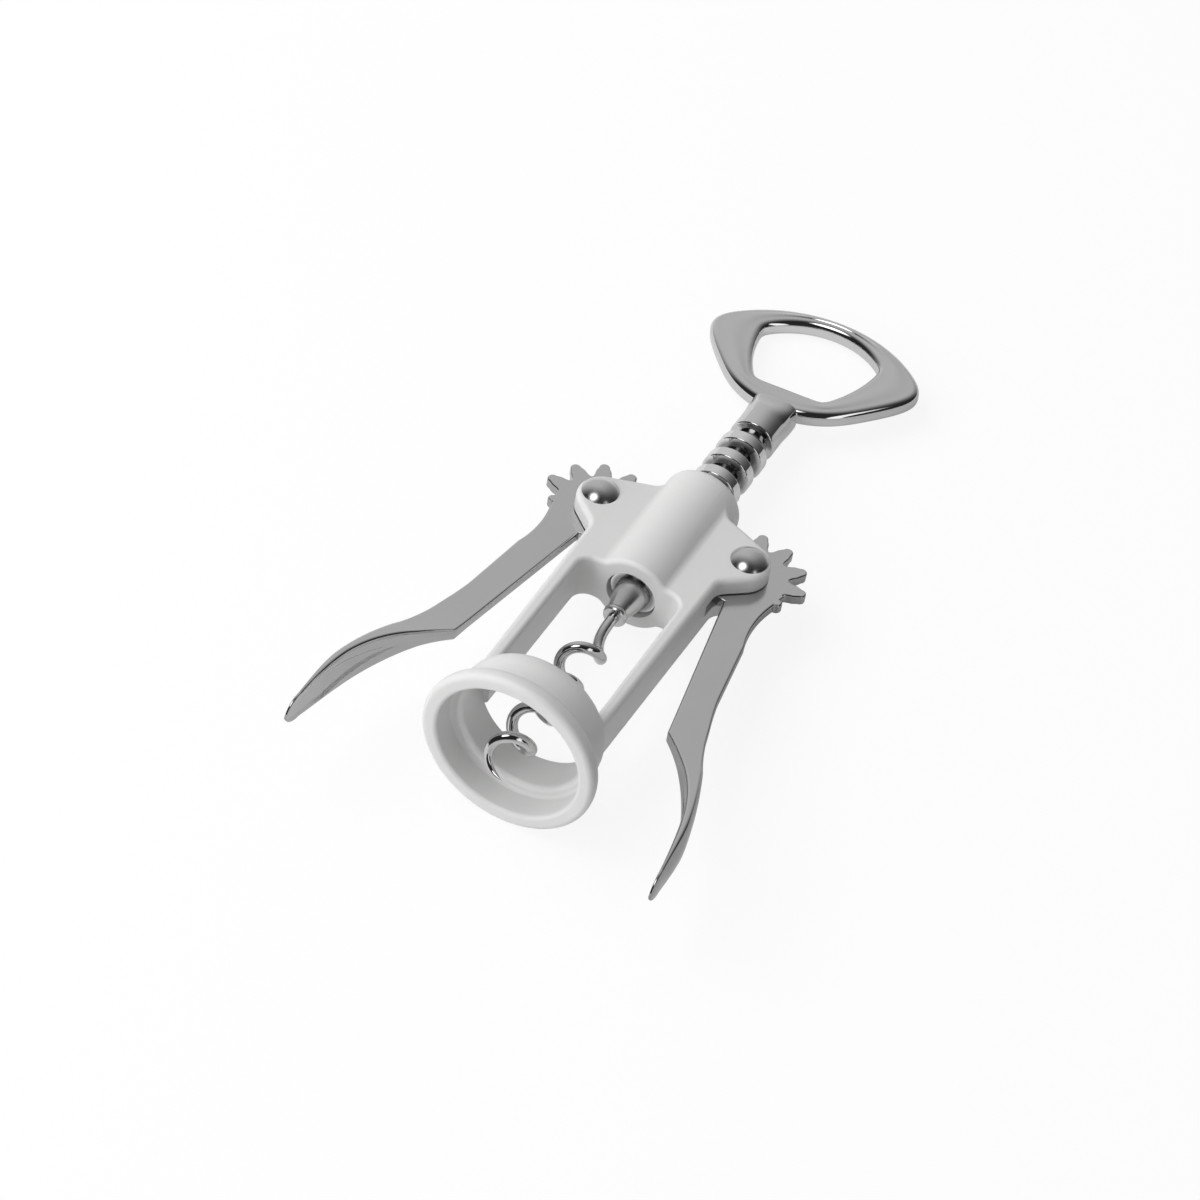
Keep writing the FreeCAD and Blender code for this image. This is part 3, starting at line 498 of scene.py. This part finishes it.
# mm and degrees, before the head is turned round the axis. Heights along the axis are from the bell's mouth
openerSizes = {
    "turn": 4.4, "half": 2.2, "crown": 0.2, "outerEdge": 1.5, "innerEdge": 1.5, "middle": 136.5,
    "lowest": 118.0, "lowerRadius": 21.3, "flankAcross": 17.6, "flankCurve": 32.0, "tipRound": 7.4,
    "width": 25.7, "tipAlong": 138.4, "highest": 151.4,
    "openBottom": 125.1, "openHalfBottom": 7.9, "openHalfTop": 13.8, "openShoulder": 141.3,
    "openTop": 147.6, "openBulge": 1.3, "openRound": 2.4,
    "collar": 5.15, "collarBottom": 107.1, "collarTop": 118.8, "collarRound": 0.4, "collarTopHeight": 3.9,
    "squareFrom": 0.45, "squareness": 1.4, "lastRing": 0.5,
    "spindle": 2.6, "spindleBottom": 53.1, "hole": 1.21, "holeTop": 64.7, "crisp": 0.02,
}
loopStep = 0.12                                           # mm between the points of the head's outlines
rayGap = 0.002                                            # radians, the least between two of its cuts


def overChord(half, rise):
    # the radius of an arc over a chord: (half^2 + rise^2) / (2 * rise)
    return (half ** 2 + rise ** 2) / (2 * rise)


def evenLoop(points):
    # the same closed line with evenly spaced points, read off at multiples of the step along it
    closed = np.vstack([points, points[:1]])
    place = np.concatenate([[0], np.cumsum(np.hypot(*np.diff(closed, axis=0).T))])
    wanted = np.arange(0, place[-1], loopStep)
    return np.stack([np.interp(wanted, place, closed[:, axis]) for axis in (0, 1)], 1)


def softened(loop, reach):
    # each point moves to the mean of its neighbours within this reach, twice, which rounds the corners
    count = max(1, int(reach / loopStep))
    for turn in range(2):
        loop = sum(np.roll(loop, shift, 0) for shift in range(-count, count + 1)) / (2 * count + 1)
    return loop


def angleFrom(centre, loop):
    # the direction of each point from the centre, from 0 to a full turn
    return np.arctan2(*(loop - centre).T[::-1]) % (2 * math.pi)


def headOutlines():
    # the rim is an arc over the top, two curved flanks and a smaller arc below. The opening is an arc over
    # the top, two bulged flanks and a straight foot
    look = openerSizes
    across, width, tip = look["flankAcross"], look["width"], look["tipAlong"]
    flankAlong = look["lowest"] + look["lowerRadius"] - math.sqrt(look["lowerRadius"] ** 2 - across ** 2)
    rim = path(
        (across, flankAlong, look["flankCurve"]), (width, tip, overChord(width, look["highest"] - tip)),
        (-width, tip, look["flankCurve"]), (-across, flankAlong, look["lowerRadius"]), (across, flankAlong),
    )[:-1]
    foot, shoulder = look["openHalfBottom"], look["openHalfTop"]
    bottom, top = look["openBottom"], look["openShoulder"]
    flank = overChord(math.hypot(shoulder - foot, top - bottom) / 2, look["openBulge"])
    opening = path(
        (foot, bottom, flank), (shoulder, top, overChord(shoulder, look["openTop"] - top)),
        (-shoulder, top, flank), (-foot, bottom), (foot, bottom),
    )[:-1]
    return softened(evenLoop(rim), look["tipRound"] / 2), softened(evenLoop(opening), look["openRound"] / 2)


def headShell():
    # a quarter round up from the rim, a face that rises by crown * sin(pi * t)^2 between the two outlines,
    # and a quarter round down to the opening, all cut by the same rays from the middle
    look = openerSizes
    rim, opening = headOutlines()
    centre = np.array((0, look["middle"]))
    rays = np.sort(np.concatenate([angleFrom(centre, loop[::3]) for loop in (rim, opening)]))
    rays = rays[np.insert(np.diff(rays) > rayGap, 0, True)]
    top = look["half"] - look["crown"]

    def ring(loop, inset):
        own = angleFrom(centre, loop)
        order = np.argsort(own)
        moved = (loop - outwardOf(loop) * inset)[order]
        return np.stack([np.interp(rays, own[order], column, period=2 * math.pi) for column in moved.T], 1)

    upper = [atHeight(ring(rim, inset), top - drop) for inset, drop in quarterRound(look["outerEdge"], 10)]
    outerFace, innerFace = ring(rim, look["outerEdge"]), ring(opening, -look["innerEdge"])
    for share in np.linspace(0, 1, 14)[1:-1]:
        rise = look["crown"] * math.sin(math.pi * share) ** 2
        upper.append(atHeight(outerFace * (1 - share) + innerFace * share, top + rise))
    for inset, drop in quarterRound(look["innerEdge"], 8)[::-1]:
        upper.append(atHeight(ring(opening, -inset), top - drop))
    return closedGrid(np.array(upper + [row * (1, 1, -1) for row in upper[::-1]]), False)


def collarShell():
    # rings up the axis: out of the hole at the spindle's end, up the spindle and up the collar. A ring is
    # width * (cos a)^p by height * (sin a)^p; p and height fall under the head, towards a flatter box
    look = openerSizes
    crisp, edge = look["crisp"], look["collarRound"]
    bottom, top, radius = look["collarBottom"], look["collarTop"], look["collar"]
    end, spindle, hole = look["spindleBottom"], look["spindle"], look["hole"]
    rings = [                                             # along, radius, share of the collar's length
        (look["holeTop"], hole, 0), (end + crisp, hole, 0), (end, hole + crisp, 0), (end, spindle - crisp, 0),
        (end + crisp, spindle, 0), (bottom - crisp, spindle, 0), (bottom, spindle + crisp, 0),
    ]
    rounds = quarterRound(edge, 7)
    rings += [(bottom + inset, radius - drop, 0) for inset, drop in rounds]
    rings += [(bottom + edge + share * (top - bottom - 2 * edge), radius, share)
              for share in np.linspace(0, 1, 24)[1:-1]]
    rings += [(top - inset, radius - drop, 1) for inset, drop in rounds[::-1]]
    rings.append((top, look["lastRing"], 1))
    angle = np.linspace(0, 2 * math.pi, 96, endpoint=False)
    cosine, sine = np.cos(angle), np.sin(angle)
    rows = []
    for along, width, share in rings:
        change = smooth((share - look["squareFrom"]) / (1 - look["squareFrom"]))
        power = 2 / (2 + look["squareness"] * change)
        height = width * (1 - (1 - look["collarTopHeight"] / radius) * change)
        x = width * np.sign(cosine) * np.abs(cosine) ** power
        z = height * np.sign(sine) * np.abs(sine) ** power
        rows.append(np.column_stack([x, np.full(len(angle), along), z]))
    return closedGrid(np.array(rows), True)


def openerShells():
    # x * cos a - z * sin a and x * sin a + z * cos a round the axis, which lifts the right side
    angle = math.radians(openerSizes["turn"])
    cosine, sine = math.cos(angle), math.sin(angle)
    turn = np.array(((cosine, 0, sine), (0, 1, 0), (-sine, 0, cosine)))
    return [(points @ turn, faces) for points, faces in (headShell(), collarShell())]


makePiece("openerSteel", openerShells(), "screw", "opener_handle")
print("opener made")


# floorTouch is the floor's height and the place along the axis where it has it, in mm. softbox, keyFrom and
# fillFrom are directions from the object; pairs are limits of smooth steps, in metres or on a direction
studio = {
    "floorTouch": (-18.9, 1.4), "floorSlope": 6.19, "floorHalf": 3.0, "floorColour": 0.96,
    "white": 1.0, "shadowSeen": 0.12, "shadowMirrored": 0.5,
    # in reflections the floor is darker to the right of the middle, a painted shadow
    "mirroredLeft": 0.75, "mirroredShadowedRight": 0.26, "paintedShadowFade": (-0.004, 0.036),
    "ambient": 0.36, "dark": 0.025, "wallLevel": 0.64, "left": (-0.9, 0.5), "back": (-0.35, 0.55),
    "groundLevel": 0.95, "ground": (-0.02, 0.12),
    "softbox": (-0.28, -0.42, 0.86), "softboxEdge": (0.945, 0.985), "softboxLevel": 3.1,
    "strip": (0.60, 0.84), "stripSoft": 0.05, "stripFront": (0.12, 0.3), "stripLevel": 1.3,
    "aim": (0, 0.07, 0), "lampDistance": 1.0,
    "keyFrom": (-0.62, -0.18, 0.76), "keyLevel": 0.71, "keySize": 0.8,
    "fillFrom": (-0.45, -0.85, 0.28), "fillLevel": 0.36, "fillSize": 0.6,
}


def makeFloor():
    # a square whose height grows with y by the slope. A matt shader takes the shadows, and the glow mixed
    # with it keeps the floor white to the camera; in reflections it is pale on the left and darker on the
    # right, a painted shadow
    half = studio["floorHalf"]
    low, along = studio["floorTouch"]
    steep = math.tan(math.radians(studio["floorSlope"]))
    corners = [(x * half, y * half) for x, y in ((-1, -1), (1, -1), (1, 1), (-1, 1))]
    points = [(x, y, low * mm + (y - along * mm) * steep) for x, y in corners]
    mesh = bpy.data.meshes.new("floor")
    mesh.from_pydata(points, [], [(0, 1, 2, 3)])
    floor = bpy.data.objects.new("floor", mesh)
    bpy.context.scene.collection.objects.link(floor)

    tree = Tree(bpy.data.materials.new("paleFloor"))
    camera, glossy, through = tree.rays("Camera", "Glossy", "Transmission")
    mirror = glossy.maths("MAXIMUM", through)
    across = tree.axes(tree.node("ShaderNodeTexCoord", output="Object"))[0]
    # painted shadow: in reflections the floor is dark on the right, where the object's shadow falls
    shadowedSide = across.between(*studio["paintedShadowFade"])
    mirrored = tree.mixed(shadowedSide, grey(studio["mirroredLeft"]), grey(studio["mirroredShadowedRight"]))
    colour = tree.mixed(camera, mirrored, grey(studio["white"]))
    glow = tree.node("ShaderNodeEmission", None, {"Color": colour, "Strength": 1.0})
    plain = tree.node("ShaderNodeBsdfDiffuse", None, {"Color": grey(studio["floorColour"])})
    share = camera * (1 - studio["shadowSeen"]) + mirror * (1 - studio["shadowMirrored"])
    mixed = tree.node("ShaderNodeMixShader", None, {0: share, 1: plain, 2: glow})
    tree.node("ShaderNodeOutputMaterial", None, {"Surface": mixed})
    mesh.materials.append(tree.owner)


def makeWorld():
    # white to the camera and an even light to matt surfaces. Polished ones see a room: dark at the front and
    # right, pale at the back left and below, with a softbox in front above and a strip at the front right
    world = bpy.data.worlds.new("studio")
    bpy.context.scene.world = world
    tree = Tree(world)
    x, y, z = tree.axes(tree.node("ShaderNodeTexCoord", output="Generated"))
    camera, glossy = tree.rays("Camera", "Glossy")
    left, back = (x * -1.0).between(*studio["left"]), y.between(*studio["back"])
    lampX, lampY, lampZ = studio["softbox"]
    softbox = (x * lampX + y * lampY + z * lampZ).between(*studio["softboxEdge"])
    near, far = studio["strip"]
    strip = x.between(near, near + studio["stripSoft"]) - x.between(far - studio["stripSoft"], far)
    strip = strip * (y * -1.0).between(*studio["stripFront"])
    room = studio["dark"] + left * back * studio["wallLevel"]
    room = room + softbox * studio["softboxLevel"] + strip * studio["stripLevel"]
    ground = (z * -1.0).between(*studio["ground"])
    room = room * (1 - ground) + ground * studio["groundLevel"]
    level = camera * studio["white"] + (1 - camera) * (glossy * room + (1 - glossy) * studio["ambient"])
    colour = tree.node("ShaderNodeCombineColor", None, {0: level, 1: level, 2: level})
    sky = tree.node("ShaderNodeBackground", None, {"Color": colour, "Strength": 1.0})
    tree.node("ShaderNodeOutputWorld", None, {"Surface": sky})


def makeLamp(name):
    # a square lamp that gives its level on a surface that faces it: power = level * (pi * distance)^2
    lamp = bpy.data.lights.new(name + "Lamp", "AREA")
    lamp.size = studio[name + "Size"]
    lamp.energy = studio[name + "Level"] * (math.pi * studio["lampDistance"]) ** 2
    item = bpy.data.objects.new(name + "Lamp", lamp)
    item.visible_glossy = False
    bpy.context.scene.collection.objects.link(item)
    away = Vector(studio[name + "From"]).normalized()
    place = Matrix.Translation(Vector(studio["aim"]) + away * studio["lampDistance"])
    item.matrix_world = place @ away.to_track_quat("Z", "Y").to_matrix().to_4x4()


# the lens and sensor are in mm and the rest in metres; right, up and back are the camera's own axes
view = {
    "lens": 120.0, "sensor": 36.0, "nearest": 0.01, "farthest": 20.0,
    "place": (0.1947192, -0.4833380, 0.5667424),
    "right": (0.8757334, 0.4654876, 0.1281107),
    "up": (-0.4139148, 0.5872836, 0.6955376),
    "back": (0.2485268, -0.6621324, 0.7069761),
}


def makeCamera():
    camera = bpy.data.objects.new("camera", bpy.data.cameras.new("camera"))
    bpy.context.scene.collection.objects.link(camera)
    camera.data.lens, camera.data.sensor_width = view["lens"], view["sensor"]
    camera.data.clip_start, camera.data.clip_end = view["nearest"], view["farthest"]
    turned = Matrix((view["right"], view["up"], view["back"])).transposed()
    camera.matrix_world = Matrix.Translation(view["place"]) @ turned.to_4x4()
    bpy.context.scene.camera = camera


makeFloor()
makeWorld()
makeLamp("key")
makeLamp("fill")
makeCamera()
bpy.context.scene.view_settings.view_transform = "Standard"
print("studio made")

bpy.context.view_layer.update()
